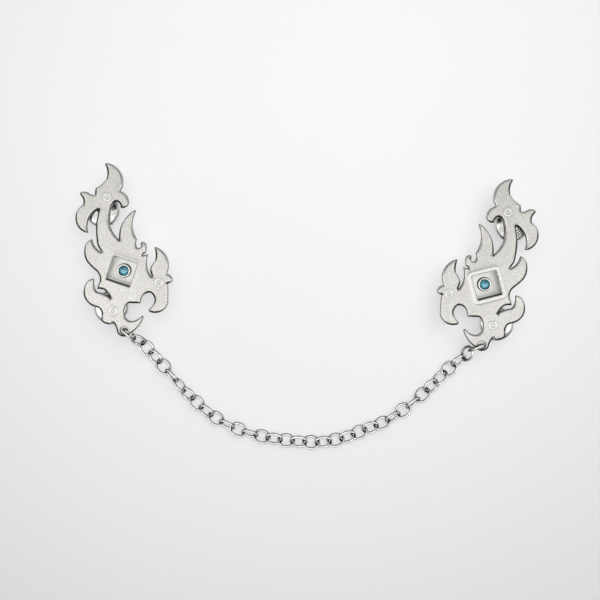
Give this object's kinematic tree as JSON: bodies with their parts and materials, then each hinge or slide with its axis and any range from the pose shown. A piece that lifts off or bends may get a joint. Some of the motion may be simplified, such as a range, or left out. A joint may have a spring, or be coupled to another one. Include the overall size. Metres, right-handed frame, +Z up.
{
  "type": "collar chain",
  "caption": "Pair of mirrored flame-shaped metal plates, each with a blue stone in a square well and push-on clutches behind, joined by an oval-link chain that hangs between the collar points.",
  "frame": {"origin": "centre of the laid-out part in plan, on the surface that it lies on", "axes": "+X from the left plate to the right plate as seen face up, +Y up towards the plates' crests, +Z up out of the plates' faces"},
  "size_m": [0.1547, 0.0976, 0.0088],
  "materials": {
    "satin_plate": "fine bead-blasted silver-tone plate, soft edges",
    "blue_stone": "clear faceted cyan-blue stone",
    "bright_clutch": "polished bright nickel",
    "chain_wire": "polished nickel-plated round wire"
  },
  "bodies": {
    "jewel": {"left_plate": "satin_plate", "right_plate": "satin_plate", "left_stone": "blue_stone", "right_stone": "blue_stone", "link_01": "chain_wire", "link_02": "chain_wire", "link_03": "chain_wire", "link_04": "chain_wire", "link_05": "chain_wire", "link_06": "chain_wire", "link_07": "chain_wire", "link_08": "chain_wire", "link_09": "chain_wire", "link_10": "chain_wire", "link_11": "chain_wire", "link_12": "chain_wire", "link_13": "chain_wire", "link_14": "chain_wire", "link_15": "chain_wire", "link_16": "chain_wire", "link_17": "chain_wire", "link_18": "chain_wire", "link_19": "chain_wire", "link_20": "chain_wire", "link_21": "chain_wire", "link_22": "chain_wire", "link_23": "chain_wire", "link_24": "chain_wire", "link_25": "chain_wire", "link_26": "chain_wire", "link_27": "chain_wire", "link_28": "chain_wire", "link_29": "chain_wire", "link_30": "chain_wire", "link_31": "chain_wire", "link_32": "chain_wire", "link_33": "chain_wire", "link_34": "chain_wire", "link_35": "chain_wire"},
    "left_crest_clutch_body": {"left_crest_clutch": "bright_clutch"},
    "left_foot_clutch_body": {"left_foot_clutch": "bright_clutch"},
    "right_crest_clutch_body": {"right_crest_clutch": "bright_clutch"},
    "right_foot_clutch_body": {"right_foot_clutch": "bright_clutch"}
  },
  "joints": [
    {"name": "left_crest_clutch_slide", "type": "slide", "parent": "jewel", "child": "left_crest_clutch_body", "axis": [0, 0, -1], "range_m": [0, 0.003]},
    {"name": "left_foot_clutch_slide", "type": "slide", "parent": "jewel", "child": "left_foot_clutch_body", "axis": [0, 0, -1], "range_m": [0, 0.003]},
    {"name": "right_crest_clutch_slide", "type": "slide", "parent": "jewel", "child": "right_crest_clutch_body", "axis": [0, 0, -1], "range_m": [0, 0.003]},
    {"name": "right_foot_clutch_slide", "type": "slide", "parent": "jewel", "child": "right_foot_clutch_body", "axis": [0, 0, -1], "range_m": [0, 0.003]}
  ]
}
